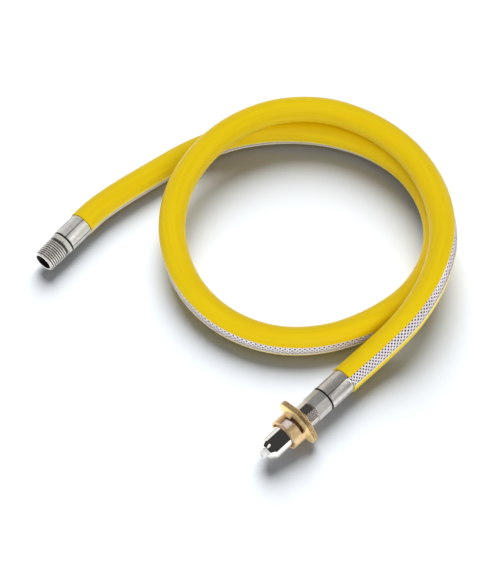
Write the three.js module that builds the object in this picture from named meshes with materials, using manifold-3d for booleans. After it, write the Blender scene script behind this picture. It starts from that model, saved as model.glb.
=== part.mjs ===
// Flexible gas hose: a covered and braided metal hose that lies in a loop and a half.
// One end is a taper-threaded nipple, the other a plug with a turning bayonet ring.
// Millimetres, +Z up. The floor is z = 0, and the origin is below the middle of the fittings.

import * as THREE from 'three';
import { mergeVertices } from 'three/addons/utils/BufferGeometryUtils.js';
import Module from 'manifold-3d';

const wasm = await Module();
wasm.setup();

// Fits
const seatGap = 0.3;               // between pieces that seat on each other
const bore = 4.5;                  // radius of the gas way through both fittings
const turns = 32;                  // facets round a turned piece
const circle = 360;                // degrees
const cutClear = 1;                // how far a cutting shape runs past what it cuts
const edgeBreak = 0.3;             // small chamfer on a turned edge
const leadChamfer = 0.6;           // chamfer that guides one piece into another

// Hose, from the outside in
const hoseRadius = 12;
const coverWall = 2.4;
const braidWall = 0.7;
const linerDepth = 2;              // crest to root of the corrugated liner
const hoseSides = 10;
const hoseSteps = 56;
const hoseFlats = Math.cos(Math.PI / hoseSides);   // flat over corner of the hose's section
const coverInside = hoseRadius - coverWall;
const braidOutside = coverInside - seatGap;
const braidInside = braidOutside - braidWall;
const linerOutside = braidInside - seatGap;
const linerInside = linerOutside - linerDepth;

// Ferrules: crimped sleeves, the same at both ends
const ferruleLength = 24;
const ferruleWall = 1.4;
const ferruleEdge = 0.5;           // chamfer at both rims
const lipLength = 1.5;             // front lip that hooks into the fitting's groove
const crimpDies = 6;
const crimpFlatness = 0.22;        // share of its roundness that a die takes away
const crimpRidge = 0.2;            // metal left standing between two dies
const crimpRidgeAngle = 5;         // degrees
const crimpMargin = 1.6;           // plain rim before and after the crimp
const dieFacets = 5;
const threadCrimpTurn = -34.8;     // degrees from up to a ridge
const plugCrimpTurn = -20.6;
const ferruleInside = braidOutside + seatGap;
const ferruleRadius = ferruleInside + ferruleWall;

// Where each fitting holds the hose, measured from the ferrule's mouth
const stemStart = 1.5;
const stemRadius = linerInside * hoseFlats - seatGap;
const stemTaper = 1.5;             // length of the stem's pointed end
const gasketLength = 1;
const shoulderLength = 2.1;
const grooveRadius = 7.3;
const lipStart = ferruleLength - lipLength;
const shoulderEnd = lipStart - seatGap;
const shoulderStart = shoulderEnd - shoulderLength;
const gasketStart = shoulderStart - seatGap - gasketLength;
const layerEnd = gasketStart - seatGap;
const shoulderRadius = ferruleInside - seatGap;

// Threaded nipple: hexagon and a half-inch taper thread
const nippleNeck = 0.9;            // open groove in front of the ferrule
const nippleSides = 6;
const nippleHexFlats = 21;
const nippleHexLength = 4.6;
const nippleHexTurn = 27;
const threadLength = 21.5;
const threadRadius = 10.48;        // at the gauge plane
const threadGauge = 8.2;           // gauge plane behind the tip
const threadTaper = 1 / 32;        // growth of the radius for each millimetre
const threadRelief = 1.4;          // plain neck between thread and hexagon
const threadReliefRadius = 9.3;
const threadRunOut = 0.6;
const tipChamfer = 0.9;
const mouthBore = 7.4;
const mouthBoreDepth = 16;
const nippleHexStart = ferruleLength + nippleNeck;
const threadStart = nippleHexStart + nippleHexLength;
const nippleEnd = threadStart + threadLength;

// Plug tail: an octagon bar in two steps, and the spigot that the ring turns on
const tailSides = 8;
const tailTurn = -18.2;            // degrees from up to a corner
const collarFlats = 19.4;
const collarLength = 14.2;
const wrenchFlats = 18.4;
const wrenchLength = 9.8;
const spigotRadius = 8;
const spigotLength = 14.2;
const barChamfer = 0.8;            // length of the turned-down corners at both ends of a bar
const barLand = 0.2;               // from the chamfer's small end to the flats
const collarStart = ferruleLength + seatGap;
const wrenchStart = collarStart + collarLength;
const wrenchEnd = wrenchStart + wrenchLength;
const spigotEnd = wrenchEnd + spigotLength;

// Thrust washer between the tail's octagon and the ring
const washerLength = 1;
const washerRadius = 9;
const washerStart = wrenchEnd + seatGap;

// Bayonet ring: a winged flange and a slotted barrel
const ringTurn = -20;              // degrees about the plug's axis, as it lies
const flangeThickness = 5;
const wingSpan = 40;
const wingRadius = 7;
const flatSpan = 26;               // across the flange's two flats
const flatLength = 14;
const flangeRounding = 1;
const barrelRadius = 13.2;
const barrelWall = 1.9;
const barrelLength = 14.4;
const coveRadius = 1.5;            // fillet between flange and barrel
const coveFacets = 3;
const rimChamfer = 0.4;
const windowMiddle = 35;           // degrees from the middle of a flat
const windowAngle = 48;
const windowLength = 8;
const rimLength = 1.3;             // bridge in front of the window
const entryWall = 0.8;             // left over the entry groove
const entryInset = 6;              // degrees by which the entry is narrower than the window, each side
const legAngle = 43;
const legLength = 3.2;
const legOverlap = 0.6;            // the leg's side beyond the window's corner
const slotCount = 2;
const ringStart = washerStart + washerLength + seatGap;
const barrelStart = ringStart + flangeThickness;
const ringEnd = barrelStart + barrelLength;
const ringBore = spigotRadius + seatGap;
const barrelInside = barrelRadius - barrelWall;

// Plug nose: screwed on the spigot, its shoulder holds the ring
const noseRadius = 9.6;
const noseShoulderLength = 2.3;
const noseShoulderGap = 0.5;       // running gap inside the barrel
const noseShoulderRadius = barrelInside - noseShoulderGap;
const noseStraight = 15.5;         // shown in front of the ring
const noseConeLength = 4;
const noseTipRadius = 6.6;
const noseFrontWall = 4.3;
const noseWall = 3.4;
const noseStart = barrelStart + seatGap;
const noseConeStart = ringEnd + noseStraight;
const noseEnd = noseConeStart + noseConeLength;
const noseSocket = spigotRadius + seatGap;
const noseInside = noseRadius - noseWall;

// Static seal ring between the spigot's end and the nose
const sealThickness = 1.6;
const sealFacets = 20;
const sealMiddle = noseSocket - seatGap - sealThickness / 2;
const sealStart = spigotEnd + seatGap;
const noseSocketEnd = sealStart + sealThickness + seatGap;

// White nozzle tip, seated behind the nose's front wall
const tipRadius = 3.2;
const tipReach = 4.6;              // stands out of the nose
const tipHeadLength = 2.4;
const tipTail = 3;
const tipBore = 1.5;
const tipRounding = 1.4;
const tipHeadRadius = noseInside - seatGap;
const tipHeadEnd = noseEnd - noseFrontWall - seatGap;

// How the hose lies. The two mouths are where the cover meets a ferrule.
const threadMouth = new THREE.Vector3(-98.2, 109.5, hoseRadius + 0.2);
const threadBearing = 233.9;       // degrees from +X, from the mouth towards the thread
const plugMouth = new THREE.Vector3(128.7, -48.9, 14.61);
const plugBearing = 224.2;
const threadLead = 14;             // straight hose in front of each mouth
const plugLead = 8;
const freeRoute = [
  [-72.5, 138.5, 12.2], [-37, 167.5, 12.2], [-0.5, 194.5, 12.2], [40.5, 213.5, 12.2],
  [85.5, 220.5, 12.2], [131, 215.5, 12.2], [172, 197, 12.2], [203.5, 164.5, 12.2],
  [219, 121.5, 12.2], [215, 76.5, 12.2], [193, 37, 12.2], [157.5, 8.5, 12.2],
  [115.5, -8.5, 12.2], [70.5, -9, 12.4], [29, 9.5, 14], [-1, 43, 18.5],
  [-15, 86, 25], [-11.5, 130.5, 30.8], [8, 171.5, 34.4], [40, 204, 36.4],
  [81, 223, 36.8], [126, 223, 36.8], [167, 203, 36.8], [198, 170, 36.8],
  [215.5, 128, 36.8], [219, 83, 37.6], [208, 39, 37.2], [184.5, 1.5, 29.8],
  [155.5, -25, 18.3],
];

const materials = {
  cover: { color: 0xeccc0e, roughness: 0.35, metalness: 0 },
  braid: { color: 0xb9b6b4, roughness: 0.4, metalness: 1 },
  liner: { color: 0xa8a8a6, roughness: 0.35, metalness: 1 },
  steel: { color: 0xb8b4ae, roughness: 0.3, metalness: 1 },
  nickel: { color: 0xd5d2cc, roughness: 0.12, metalness: 1 },
  brass: { color: 0xc79a4c, roughness: 0.4, metalness: 1 },
  rubber: { color: 0x191919, roughness: 0.8, metalness: 0 },
  white: { color: 0xf2f2ee, roughness: 0.4, metalness: 0 },
};

// Solids

function toSolid(geometry) {
  const bare = geometry.clone();
  bare.deleteAttribute('normal');
  bare.deleteAttribute('uv');
  const merged = mergeVertices(bare, 1e-4);
  const places = merged.getAttribute('position');
  const triangles = [];
  let volume = 0;
  const [a, b, c] = [new THREE.Vector3(), new THREE.Vector3(), new THREE.Vector3()];
  for (let i = 0; i < merged.index.count; i += 3) {
    const corners = [0, 1, 2].map((k) => merged.index.getX(i + k));
    if (new Set(corners).size < 3) continue;
    triangles.push(corners);
    a.fromBufferAttribute(places, corners[0]);
    b.fromBufferAttribute(places, corners[1]);
    c.fromBufferAttribute(places, corners[2]);
    volume += a.dot(b.cross(c));
  }
  const outward = volume < 0 ? triangles.map(([p, q, r]) => [p, r, q]) : triangles;
  return new wasm.Manifold(new wasm.Mesh({
    numProp: 3,
    vertProperties: new Float32Array(places.array),
    triVerts: new Uint32Array(outward.flat()),
  }));
}

function toMesh(name, solid, material) {
  const { vertProperties, triVerts } = solid.getMesh();
  const geometry = new THREE.BufferGeometry();
  geometry.setAttribute('position', new THREE.BufferAttribute(vertProperties, 3));
  geometry.setIndex(new THREE.BufferAttribute(triVerts, 1));
  geometry.computeVertexNormals();
  const mesh = new THREE.Mesh(geometry, new THREE.MeshStandardMaterial(materials[material]));
  mesh.name = name;
  return mesh;
}

// A turned piece: [radius, station] pairs along the fitting's own +Z axis
function turned(profile, facets = turns) {
  const points = profile.map(([radius, station]) => new THREE.Vector2(radius, station));
  return toSolid(new THREE.LatheGeometry(points, facets).rotateX(Math.PI / 2));
}

// A turned tube: its outline runs along the outside and back along the inside
function turnedTube(outline, facets = turns) {
  return turned([...outline, outline[0]], facets);
}

function extruded(shape, start, end, bevel = 0, curveSegments = 6) {
  const geometry = new THREE.ExtrudeGeometry(shape, {
    depth: end - start - 2 * bevel,
    bevelEnabled: bevel > 0,
    bevelThickness: bevel,
    bevelSize: bevel,
    bevelOffset: -bevel,
    bevelSegments: 2,
    curveSegments,
  });
  return toSolid(geometry.translate(0, 0, start + bevel));
}

function cylinder(radius, start, end, facets = turns) {
  return turned([[0, start], [radius, start], [radius, end], [0, end]], facets);
}

function polar(radius, degrees) {
  const angle = THREE.MathUtils.degToRad(degrees);
  return new THREE.Vector2(radius * Math.cos(angle), radius * Math.sin(angle));
}

// A bar with flat sides, whose corners are turned down to a chamfer at both ends
function flatSided(sides, flats, start, end, turn) {
  const cornerRadius = flats / 2 / Math.cos(Math.PI / sides);
  const corners = Array.from({ length: sides }, (_, k) => polar(cornerRadius, turn + (circle * k) / sides));
  const bar = extruded(new THREE.Shape(corners), start, end);
  const endRadius = flats / 2 - barLand;
  const blank = turned([
    [0, start], [endRadius, start], [cornerRadius, start + barChamfer],
    [cornerRadius, end - barChamfer], [endRadius, end], [0, end],
  ]);
  return bar.intersect(blank);
}

// A block of the wall between two radii, two angles and two stations
function wallBlock(inner, outer, fromDegrees, toDegrees, start, end) {
  const facets = Math.max(2, Math.ceil((toDegrees - fromDegrees) / 8));
  const angles = Array.from({ length: facets + 1 }, (_, k) => (
    fromDegrees + ((toDegrees - fromDegrees) * k) / facets));
  const outside = angles.map((angle) => polar(outer, angle));
  const inside = [...angles].reverse().map((angle) => polar(inner, angle));
  return extruded(new THREE.Shape([...outside, ...inside]), start, end);
}

// Fitting pieces, each along +Z from its ferrule's mouth

// The crimped outline: a ridge between two dies, and a flattened arc under each die
function crimpedOutline(turn) {
  const dieAngle = circle / crimpDies;
  const ridgeHalf = crimpRidgeAngle / 2;
  const facetAngle = (dieAngle - crimpRidgeAngle) / dieFacets;
  const meanAngle = THREE.MathUtils.degToRad(dieAngle / 4);
  const dieRadius = (fromMiddle) => {
    const angle = THREE.MathUtils.degToRad(fromMiddle);
    return ferruleRadius * (1 + (crimpFlatness * (angle ** 2 - meanAngle ** 2)) / 2);
  };
  const outline = [];
  for (let die = 0; die < crimpDies; die += 1) {
    const ridge = turn + die * dieAngle;
    outline.push(polar(dieRadius(dieAngle / 2) + crimpRidge, ridge));
    for (let k = 0; k <= dieFacets; k += 1) {
      const fromRidge = ridgeHalf + k * facetAngle;
      outline.push(polar(dieRadius(fromRidge - dieAngle / 2), ridge + fromRidge));
    }
  }
  return outline;
}

function ferrule(turn) {
  const shape = new THREE.Shape(crimpedOutline(turn));
  const crimped = extruded(shape, crimpMargin, ferruleLength - crimpMargin);
  const rims = turned([
    [0, 0], [ferruleRadius - ferruleEdge, 0], [ferruleRadius, ferruleEdge],
    [ferruleRadius, ferruleLength - ferruleEdge], [ferruleRadius - ferruleEdge, ferruleLength],
    [0, ferruleLength],
  ]);
  const waist = turned([
    [ferruleRadius - ferruleEdge, crimpMargin], [ferruleRadius + cutClear, crimpMargin],
    [ferruleRadius + cutClear, ferruleLength - crimpMargin],
    [ferruleRadius - ferruleEdge, ferruleLength - crimpMargin],
    [ferruleRadius - ferruleEdge, crimpMargin],
  ]);
  const sleeveBore = cylinder(ferruleInside, -cutClear, lipStart);
  const lipBore = cylinder(grooveRadius + seatGap, 0, ferruleLength + cutClear);
  return rims.subtract(waist).add(crimped).subtract(sleeveBore).subtract(lipBore);
}

function gasket() {
  return turnedTube([
    [shoulderRadius, gasketStart], [shoulderRadius, gasketStart + gasketLength],
    [stemRadius + seatGap, gasketStart + gasketLength], [stemRadius + seatGap, gasketStart],
  ]);
}

// Stem, shoulder and groove: the part of a fitting that is inside its ferrule
function stemOutline() {
  return [
    [stemRadius - leadChamfer, stemStart], [stemRadius, stemStart + stemTaper],
    [stemRadius, shoulderStart], [shoulderRadius, shoulderStart],
    [shoulderRadius, shoulderEnd], [grooveRadius, shoulderEnd],
  ];
}

function threadedNipple() {
  const radiusAt = (station) => threadRadius + (station - (nippleEnd - threadGauge)) * -threadTaper;
  const threadBack = threadStart + threadRelief;
  const body = turnedTube([
    ...stemOutline(),
    [grooveRadius, nippleHexStart + cutClear], [threadReliefRadius, nippleHexStart + cutClear],
    [threadReliefRadius, threadBack], [radiusAt(threadBack), threadBack + threadRunOut],
    [radiusAt(nippleEnd), nippleEnd - tipChamfer], [radiusAt(nippleEnd) - tipChamfer, nippleEnd],
    [mouthBore, nippleEnd], [mouthBore, nippleEnd - mouthBoreDepth],
    [bore, nippleEnd - mouthBoreDepth - (mouthBore - bore)], [bore, stemStart],
  ]);
  const hex = flatSided(nippleSides, nippleHexFlats, nippleHexStart, threadStart, nippleHexTurn);
  return body.add(hex.subtract(cylinder(grooveRadius, nippleHexStart - cutClear, threadStart + cutClear)));
}

function plugTail() {
  const body = turnedTube([
    ...stemOutline(),
    [grooveRadius, collarStart + cutClear], [spigotRadius, collarStart + cutClear],
    [spigotRadius, spigotEnd - leadChamfer], [spigotRadius - leadChamfer, spigotEnd],
    [bore, spigotEnd], [bore, stemStart],
  ]);
  const way = cylinder(bore + cutClear, collarStart - cutClear, wrenchEnd + cutClear);
  const collar = flatSided(tailSides, collarFlats, collarStart, wrenchStart, tailTurn);
  const wrench = flatSided(tailSides, wrenchFlats, wrenchStart - barChamfer, wrenchEnd, tailTurn);
  return body.add(collar.add(wrench).subtract(way));
}

function thrustWasher() {
  return turnedTube([
    [washerRadius, washerStart], [washerRadius, washerStart + washerLength],
    [spigotRadius + seatGap, washerStart + washerLength], [spigotRadius + seatGap, washerStart],
  ]);
}

// The flange's outline: two flats, and a round wing at each end with straight flanks
function flangeShape() {
  const wingMiddle = wingSpan / 2 - wingRadius;
  const flatEnd = new THREE.Vector2(flatLength / 2, flatSpan / 2);
  const reach = Math.hypot(wingMiddle - flatEnd.x, flatEnd.y);
  const flankAngle = Math.atan2(flatEnd.y, flatEnd.x - wingMiddle) - Math.acos(wingRadius / reach);
  const shape = new THREE.Shape();
  shape.moveTo(flatEnd.y, -flatEnd.x);
  shape.lineTo(flatEnd.y, flatEnd.x);
  shape.absarc(0, wingMiddle, wingRadius, Math.PI / 2 - flankAngle, Math.PI / 2 + flankAngle, false);
  shape.lineTo(-flatEnd.y, flatEnd.x);
  shape.lineTo(-flatEnd.y, -flatEnd.x);
  shape.absarc(0, -wingMiddle, wingRadius, -Math.PI / 2 - flankAngle, -Math.PI / 2 + flankAngle, false);
  return shape;
}

// A bayonet slot: an entry groove under the rim, a window, and a leg with a round end
function bayonetSlot(turn) {
  const outside = barrelRadius + cutClear;
  const through = barrelInside - cutClear;
  const from = windowMiddle - windowAngle / 2 + turn;
  const to = from + windowAngle;
  const windowEnd = ringEnd - rimLength;
  const windowStart = windowEnd - windowLength;
  const legStart = windowStart - legLength + legOverlap;
  const legEnd = legStart + legLength;
  const endRadius = legLength / 2;
  const entryOutside = barrelRadius - entryWall;
  const entry = wallBlock(through, entryOutside, from + entryInset, to - entryInset,
    windowEnd - cutClear, ringEnd + cutClear);
  const window = wallBlock(through, outside, from, to, windowStart, windowEnd);
  const leg = wallBlock(through, outside, from - legAngle, windowMiddle + turn, legStart, legEnd);
  const roundEnd = toSolid(new THREE.CylinderGeometry(endRadius, endRadius, outside - through, 16)
    .rotateZ(Math.PI / 2)
    .translate((outside + through) / 2, 0, legStart + endRadius)
    .rotateZ(THREE.MathUtils.degToRad(from - legAngle)));
  return [entry, window, leg, roundEnd];
}

function bayonetRing() {
  const flange = extruded(flangeShape(), ringStart, barrelStart, flangeRounding, 8);
  const cove = Array.from({ length: coveFacets + 1 }, (_, k) => {
    const corner = polar(coveRadius, 180 + (90 * (coveFacets - k)) / coveFacets);
    return [barrelRadius + coveRadius + corner.x, barrelStart + coveRadius + corner.y];
  });
  const barrel = turned([
    [0, ringStart + cutClear], [barrelRadius - cutClear, ringStart + cutClear],
    [barrelRadius - cutClear, barrelStart - edgeBreak], [barrelRadius, barrelStart - edgeBreak],
    ...cove,
    [barrelRadius, ringEnd - rimChamfer], [barrelRadius - rimChamfer, ringEnd], [0, ringEnd],
  ]);
  const foot = extruded(flangeShape(), ringStart, barrelStart + coveRadius);
  const round = cylinder(barrelRadius, barrelStart - edgeBreak, ringEnd);
  let ring = flange.add(barrel.intersect(foot.add(round)));
  ring = ring.subtract(cylinder(ringBore, ringStart - cutClear, barrelStart + cutClear));
  ring = ring.subtract(cylinder(barrelInside, barrelStart, ringEnd + cutClear));
  for (let slot = 0; slot < slotCount; slot += 1) {
    for (const cut of bayonetSlot((slot * circle) / slotCount)) ring = ring.subtract(cut);
  }
  return ring;
}

function plugNose() {
  return turnedTube([
    [noseShoulderRadius, noseStart], [noseShoulderRadius, noseStart + noseShoulderLength],
    [noseRadius, noseStart + noseShoulderLength], [noseRadius, noseConeStart],
    [noseTipRadius, noseEnd], [tipRadius + seatGap, noseEnd],
    [tipRadius + seatGap, noseEnd - noseFrontWall], [noseInside, noseEnd - noseFrontWall],
    [noseInside, noseSocketEnd], [noseSocket, noseSocketEnd], [noseSocket, noseStart],
  ]);
}

function noseSeal() {
  const ring = new THREE.TorusGeometry(sealMiddle, sealThickness / 2, 8, sealFacets);
  return toSolid(ring.translate(0, 0, sealStart + sealThickness / 2));
}

function nozzleTip() {
  const frontEnd = noseEnd + tipReach;
  return turnedTube([
    [tipRadius, tipHeadEnd - tipHeadLength - tipTail], [tipRadius, tipHeadEnd - tipHeadLength],
    [tipHeadRadius, tipHeadEnd - tipHeadLength], [tipHeadRadius, tipHeadEnd],
    [tipRadius, tipHeadEnd], [tipRadius, frontEnd - tipRounding],
    [tipRadius - tipRounding * 0.3, frontEnd - tipRounding * 0.3],
    [tipRadius - tipRounding, frontEnd],
    [tipBore, frontEnd], [tipBore, tipHeadEnd - tipHeadLength - tipTail],
  ], 24);
}

// Placing: a fitting's +Z axis points away from the hose, and its +X axis points up

function fittingGroup(mouth, bearing) {
  const along = new THREE.Vector3(...polar(1, bearing).toArray(), 0);
  const up = new THREE.Vector3(0, 0, 1);
  const across = new THREE.Vector3().crossVectors(along, up);
  const group = new THREE.Group();
  group.quaternion.setFromRotationMatrix(new THREE.Matrix4().makeBasis(up, across, along));
  group.position.copy(mouth);
  return group;
}

const threadEnd = fittingGroup(threadMouth, threadBearing);
threadEnd.add(toMesh('thread_ferrule', ferrule(threadCrimpTurn), 'steel'));
threadEnd.add(toMesh('thread_gasket', gasket(), 'rubber'));
threadEnd.add(toMesh('threaded_nipple', threadedNipple(), 'nickel'));

const plugEnd = fittingGroup(plugMouth, plugBearing);
plugEnd.add(toMesh('plug_ferrule', ferrule(plugCrimpTurn), 'steel'));
plugEnd.add(toMesh('plug_gasket', gasket(), 'rubber'));
plugEnd.add(toMesh('plug_tail', plugTail(), 'nickel'));
plugEnd.add(toMesh('thrust_washer', thrustWasher(), 'white'));
plugEnd.add(toMesh('plug_nose', plugNose(), 'nickel'));
plugEnd.add(toMesh('nose_seal', noseSeal(), 'rubber'));
plugEnd.add(toMesh('nozzle_tip', nozzleTip(), 'white'));

const bayonet = toMesh('bayonet_ring', bayonetRing(), 'brass');
bayonet.rotation.z = THREE.MathUtils.degToRad(ringTurn);
plugEnd.add(bayonet);

// The hose: one smooth curve, straight inside each ferrule and for a short lead

function leadPoint(mouth, bearing, station) {
  const along = polar(station, bearing);
  return new THREE.Vector3(mouth.x + along.x, mouth.y + along.y, mouth.z);
}

const route = new THREE.CatmullRomCurve3([
  leadPoint(threadMouth, threadBearing, layerEnd),
  threadMouth,
  leadPoint(threadMouth, threadBearing, -threadLead),
  ...freeRoute.map((point) => new THREE.Vector3(...point)),
  leadPoint(plugMouth, plugBearing, -plugLead),
  plugMouth,
  leadPoint(plugMouth, plugBearing, layerEnd),
], false, 'centripetal');

function hoseLayer(outside, inside) {
  const ring = (radius) => Array.from({ length: hoseSides }, (_, k) => (
    polar(radius, (k * circle) / hoseSides)));
  const section = new THREE.Shape(ring(outside));
  section.holes.push(new THREE.Path(ring(inside)));
  return toSolid(new THREE.ExtrudeGeometry(section, { steps: hoseSteps, extrudePath: route }));
}

// Room cut from the cover where it stops at a ferrule's mouth
function ferruleRoom(end) {
  end.updateMatrixWorld();
  const room = new THREE.CylinderGeometry(hoseRadius * 1.5, hoseRadius * 1.5, ferruleLength + seatGap, 24)
    .rotateX(Math.PI / 2)
    .translate(0, 0, (ferruleLength - seatGap) / 2)
    .applyMatrix4(end.matrixWorld);
  return toSolid(room);
}

const cover = hoseLayer(hoseRadius, coverInside)
  .subtract(ferruleRoom(threadEnd))
  .subtract(ferruleRoom(plugEnd));

const gasHose = new THREE.Group();
gasHose.add(toMesh('hose_cover', cover, 'cover'));
gasHose.add(toMesh('wire_braid', hoseLayer(braidOutside, braidInside), 'braid'));
gasHose.add(toMesh('corrugated_liner', hoseLayer(linerOutside, linerInside), 'liner'));
gasHose.add(threadEnd);
gasHose.add(plugEnd);

export default gasHose;
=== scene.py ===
# Flexible gas hose on a pale studio floor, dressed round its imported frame.
# The scene is in metres. Sizes inside a piece's settings are millimetres, in the piece's own
# straight frame: x and y across it, z along it and away from the hose.

import math

import bmesh
import bpy
import numpy as np
from mathutils import Matrix, Vector


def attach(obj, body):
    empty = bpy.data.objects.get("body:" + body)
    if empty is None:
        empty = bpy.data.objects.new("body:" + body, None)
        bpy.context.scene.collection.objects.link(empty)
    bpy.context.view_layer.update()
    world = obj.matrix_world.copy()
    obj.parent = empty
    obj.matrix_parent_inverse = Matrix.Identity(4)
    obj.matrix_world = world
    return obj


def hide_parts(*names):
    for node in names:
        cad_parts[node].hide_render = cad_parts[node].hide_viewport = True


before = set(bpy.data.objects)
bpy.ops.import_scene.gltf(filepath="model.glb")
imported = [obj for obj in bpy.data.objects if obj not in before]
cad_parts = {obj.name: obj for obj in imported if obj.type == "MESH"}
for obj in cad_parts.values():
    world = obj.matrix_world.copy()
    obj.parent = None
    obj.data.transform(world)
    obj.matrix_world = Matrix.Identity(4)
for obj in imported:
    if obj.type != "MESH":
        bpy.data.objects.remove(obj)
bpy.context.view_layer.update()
millimetre = 0.001
fullTurn = 2 * math.pi
print("frame loaded:", len(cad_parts), "nodes")


# Camera

cameraSettings = {
    "place": (0.05275, -0.4086, 0.7091),
    "tilt": 32.5,                  # degrees up from looking straight down
    "lens": 59.08,
    "sensor": 36.0,
}


def makeCamera():
    data = bpy.data.cameras.new("camera")
    data.lens = cameraSettings["lens"]
    data.sensor_width = cameraSettings["sensor"]
    camera = bpy.data.objects.new("camera", data)
    camera.location = cameraSettings["place"]
    camera.rotation_euler = (math.radians(cameraSettings["tilt"]), 0, 0)
    bpy.context.scene.collection.objects.link(camera)
    bpy.context.scene.camera = camera


makeCamera()
print("camera placed")


# Shaders: sockets that can be used in sums, and one way to make any node

def paint(red, green, blue):
    # a colour as it is seen on a screen, 0 to 255, made linear
    shades = [shade / 255 for shade in (red, green, blue)]
    linear = [s / 12.92 if s <= 0.04045 else ((s + 0.055) / 1.055) ** 2.4 for s in shades]
    return (*linear, 1.0)


class Value:
    def __init__(self, shader, socket):
        self.shader = shader
        self.socket = socket

    def maths(self, operation, *others):
        return self.shader.maths(operation, self, *others)

    def __add__(self, other):
        return self.maths("ADD", other)

    def __sub__(self, other):
        return self.maths("SUBTRACT", other)

    def __rsub__(self, other):
        return self.shader.maths("SUBTRACT", other, self)

    def __mul__(self, other):
        return self.maths("MULTIPLY", other)

    def __truediv__(self, other):
        return self.maths("DIVIDE", other)

    __radd__ = __add__
    __rmul__ = __mul__

    def clamped(self, low, high):
        return self.maths("MAXIMUM", low).maths("MINIMUM", high)

    def eased(self, low, high):
        # 0 below low, 1 above high, smooth between
        settings = {"interpolation_type": "SMOOTHSTEP"}
        return self.shader.node("MapRange", settings, {0: self, 1: low, 2: high})


class Shader:
    def __init__(self, owner):
        owner.use_nodes = True
        self.owner = owner
        self.tree = owner.node_tree
        self.tree.nodes.clear()

    def node(self, kind, settings=None, sockets=None, output=0):
        made = self.tree.nodes.new("ShaderNode" + kind)
        for name, value in (settings or {}).items():
            setattr(made, name, value)
        for name, value in (sockets or {}).items():
            if isinstance(value, Value):
                self.tree.links.new(value.socket, made.inputs[name])
            else:
                made.inputs[name].default_value = value
        return Value(self, made.outputs[output]) if made.outputs else None

    def maths(self, operation, *values):
        return self.node("Math", {"operation": operation}, dict(enumerate(values)))

    def own(self):
        # the piece's own straight coordinates, before it was bent or placed
        return self.node("Attribute", {"attribute_name": "own"}, output="Vector")

    def scaled(self, vector, scale):
        return self.node("VectorMath", {"operation": "MULTIPLY"}, {0: vector, 1: scale})

    def split(self, vector, axis):
        return self.node("SeparateXYZ", None, {0: vector}, output=axis)

    def axes(self, vector):
        return [self.split(vector, axis) for axis in range(3)]

    def noise(self, vector, scale, detail=2.0, roughness=0.5):
        sockets = {"Vector": vector, "Scale": scale, "Detail": detail, "Roughness": roughness}
        return self.node("TexNoise", None, sockets)

    def blend(self, factor, first, second):
        settings = {"data_type": "RGBA"}
        return self.node("Mix", settings, {0: factor, 6: first, 7: second}, output=2)

    def bump(self, height, distance, strength=1.0):
        sockets = {"Strength": strength, "Distance": distance, "Height": height}
        return self.node("Bump", None, sockets)

    def finish(self, surface):
        self.node("OutputMaterial", None, {"Surface": surface})
        return self.owner

    def coated(self, sockets):
        return self.finish(self.node("BsdfPrincipled", None, sockets))


def newShader(name):
    return Shader(bpy.data.materials.new(name))


# Finishes that more than one piece has; the others stand beside their piece

def turnedMetal(metal, marks=None):
    # tool lines run round the piece: they change with radius and station only
    shader = newShader(metal["name"])
    own = shader.own()
    x, y, z = shader.axes(own)
    radius = (x * x + y * y).maths("SQRT")
    path = shader.node("CombineXYZ", None, {0: radius, 1: 0.0, 2: z})
    cut = shader.noise(path, 5.5, 3.0)
    cloud = shader.noise(own, 0.22, 2.0)
    base = shader.blend(cloud.eased(0.3, 0.75), metal["bright"], metal["dull"])
    if marks:
        base = marks(shader, own, base, metal)
    return shader.coated({
        "Base Color": base,
        "Metallic": metal["metallic"],
        "Roughness": metal["roughness"] + metal["lines"] * 0.12 * cut + 0.06 * cloud,
        "Normal": shader.bump(cut, 0.00002 * metal["lines"], 0.5),
    })


def whiteMoulding():
    shader = newShader("white_moulding")
    own = shader.own()
    cloud = shader.noise(own, 0.8, 2.0)
    base = shader.blend(cloud, paint(246, 246, 243), paint(238, 238, 233))
    return shader.coated({
        "Base Color": base,
        "Roughness": 0.34 + 0.08 * cloud,
        "Normal": shader.bump(cloud, 0.00003, 0.3),
    })


def sealRubber():
    shader = newShader("seal_rubber")
    place = shader.node("TexCoord", None, None, output="Object")
    grain = shader.noise(place, 2400.0, 2.0)
    base = shader.blend(grain, paint(30, 30, 31), paint(21, 21, 22))
    return shader.coated({
        "Base Color": base,
        "Roughness": 0.65 + 0.15 * grain,
        "Normal": shader.bump(grain, 0.00005, 0.3),
    })


# metallic is lower where the plating looks milky, and lines is how strongly tool lines show
metals = {
    "liner": {
        "name": "liner_steel", "bright": paint(196, 196, 194), "dull": paint(176, 175, 172),
        "roughness": 0.3, "lines": 1.0, "metallic": 1.0,
    },
    "pale": {
        "name": "pale_nickel", "bright": paint(222, 222, 213), "dull": paint(209, 209, 200),
        "roughness": 0.28, "lines": 1.0, "metallic": 0.38,
    },
    "satin": {
        "name": "satin_nickel", "bright": paint(232, 228, 221), "dull": paint(216, 212, 206),
        "roughness": 0.26, "lines": 0.6, "metallic": 0.76,
    },
    "nickel": {
        "name": "turned_nickel", "bright": paint(244, 232, 224), "dull": paint(234, 222, 214),
        "roughness": 0.23, "lines": 0.0, "metallic": 1.0,
    },
}
finishes = {key: turnedMetal(metal) for key, metal in metals.items()}
finishes["white"] = whiteMoulding()
finishes["rubber"] = sealRubber()
print("shared finishes made:", len(finishes))


# Route of the hose: mouth to mouth, and a straight end inside each ferrule

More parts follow.
